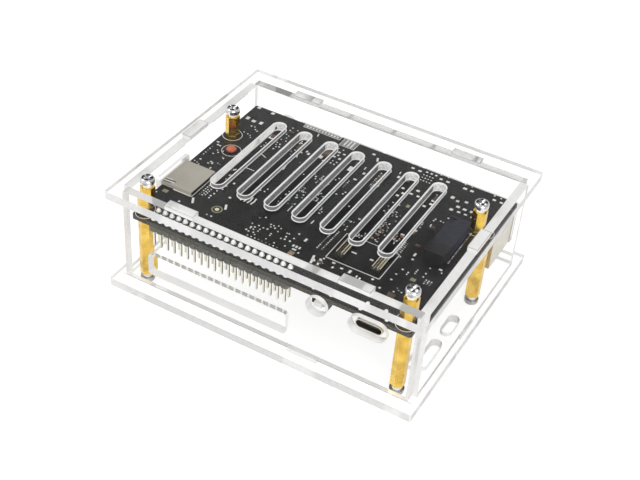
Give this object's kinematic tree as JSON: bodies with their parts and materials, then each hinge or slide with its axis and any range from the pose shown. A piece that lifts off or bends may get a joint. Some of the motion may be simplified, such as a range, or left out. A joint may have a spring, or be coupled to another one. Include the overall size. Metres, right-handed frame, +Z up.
{
  "type": "single board computer case",
  "caption": "Clear acrylic box on brass standoffs, with slotted lid and wall openings, holding a black single board computer upside down.",
  "frame": {"origin": "under the middle of the case, on the plane of the bottom screw heads", "axes": "+X to the right along the front wall, +Y to the back, +Z up"},
  "size_m": [0.1096, 0.088, 0.042],
  "materials": {
    "acrylic": "clear, polished faces and laser-cut edges",
    "brass": "turned, bright",
    "screw_steel": "nickel plated",
    "board": "satin black solder mask with white print",
    "header_plastic": "moulded, satin",
    "pin_gold": "pale gold plate",
    "socket_metal": "formed sheet, satin nickel",
    "socket_plastic": "moulded, satin",
    "button_white": "moulded",
    "blue_plastic": "dark blue, moulded",
    "orange": "coated",
    "chip_plastic": "moulded, fine grain",
    "small_ceramic": "ceramic with tinned ends"
  },
  "bodies": {
    "case": {"bottom_plate": "acrylic", "top_plate": "acrylic", "front_wall": "acrylic", "back_wall": "acrylic", "left_wall": "acrylic", "right_wall": "acrylic", "lower_standoff_front_left": "brass", "lower_standoff_front_right": "brass", "lower_standoff_back_left": "brass", "lower_standoff_back_right": "brass", "upper_standoff_front_left": "brass", "upper_standoff_front_right": "brass", "upper_standoff_back_left": "brass", "upper_standoff_back_right": "brass", "top_screws": "screw_steel", "bottom_screws": "screw_steel", "circuit_board": "board", "header_base": "header_plastic", "header_pins": "pin_gold", "power_shell": "socket_metal", "power_tongue": "socket_plastic", "button_body": "socket_plastic", "card_shell": "socket_metal", "card_body": "socket_plastic", "edge_socket": "blue_plastic", "module_socket_left": "socket_plastic", "module_socket_right": "socket_plastic", "module_contacts": "pin_gold", "round_capacitor": "orange", "top_parts": "small_ceramic", "network_jack": "socket_metal", "serial_socket_right": "socket_metal", "serial_socket_left": "socket_metal", "video_socket_right": "socket_metal", "video_socket_left": "socket_metal", "audio_jack": "socket_plastic", "processor": "chip_plastic", "memory_chip_left": "chip_plastic", "memory_chip_right": "chip_plastic", "power_chip": "chip_plastic", "coils": "chip_plastic", "under_parts": "small_ceramic"},
    "button": {"button_plunger": "button_white"}
  },
  "joints": [
    {"name": "button_press", "type": "slide", "parent": "case", "child": "button", "axis": [0, 1, 0], "range_m": [0, 0.0003], "stiffness_N_per_m": 2000}
  ]
}
